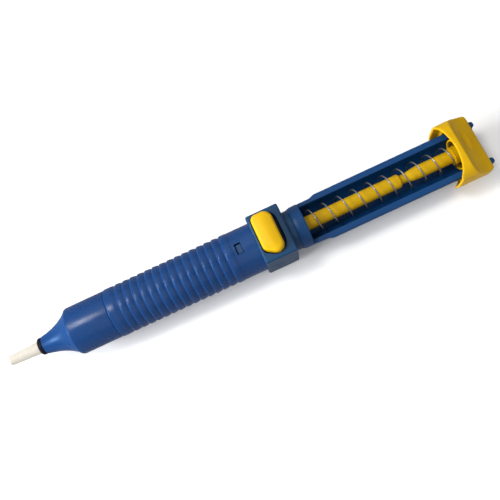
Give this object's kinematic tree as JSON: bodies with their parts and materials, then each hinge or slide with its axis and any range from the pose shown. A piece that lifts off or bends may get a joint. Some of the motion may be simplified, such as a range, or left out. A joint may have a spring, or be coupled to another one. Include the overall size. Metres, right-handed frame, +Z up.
{
  "type": "desoldering pump",
  "caption": "Hand-held spring-loaded desoldering pump with ribbed barrel, push-button latch, open guard channel and sliding loading head.",
  "frame": {"origin": "centre of the bounding box's bottom, under mid-length, at the height of the loading head's underside", "axes": "+X along the pump from the nozzle to the loading head, +Z up through the release button"},
  "size_m": [0.2194, 0.0264, 0.0279],
  "materials": {
    "white_nozzle": "waxy white PTFE",
    "black_rubber": "matt black rubber",
    "blue_barrel": "satin moulded blue plastic",
    "blue_housing": "satin moulded blue plastic",
    "blue_guard": "satin moulded blue plastic",
    "natural_acetal": "natural acetal",
    "zinc_steel": "zinc-plated steel",
    "spring_steel": "drawn spring wire",
    "yellow_rod": "moulded yellow plastic",
    "yellow_head": "moulded yellow plastic",
    "yellow_button": "moulded yellow plastic"
  },
  "bodies": {
    "housing": {"nozzle_tip": "white_nozzle", "tip_grommet": "black_rubber", "nose_cone": "blue_barrel", "nose_o_ring": "black_rubber", "barrel": "blue_barrel", "latch_housing": "blue_housing", "rod_bush": "natural_acetal", "piston_bumper": "black_rubber", "guard_channel": "blue_guard", "spring_washer": "zinc_steel", "main_spring": "spring_steel", "button_springs": "spring_steel"},
    "plunger": {"plunger_rod": "yellow_rod", "loading_head": "yellow_head", "head_screw": "zinc_steel", "piston": "natural_acetal", "piston_o_ring_front": "black_rubber", "piston_o_ring_rear": "black_rubber", "piston_retainer": "spring_steel", "ejector_pin": "spring_steel"},
    "button": {"release_button": "yellow_button", "latch_plate": "zinc_steel"}
  },
  "joints": [
    {"name": "plunger_slide", "type": "slide", "parent": "housing", "child": "plunger", "axis": [-1, 0, 0], "range_m": [0, 0.0605], "stiffness_N_per_m": 250, "springref_m": -0.02, "deforming": ["main_spring"]},
    {"name": "button_press", "type": "slide", "parent": "housing", "child": "button", "axis": [0, 0, -1], "range_m": [0, 0.0018], "stiffness_N_per_m": 400, "springref_m": -0.002, "deforming": ["button_springs"]}
  ]
}
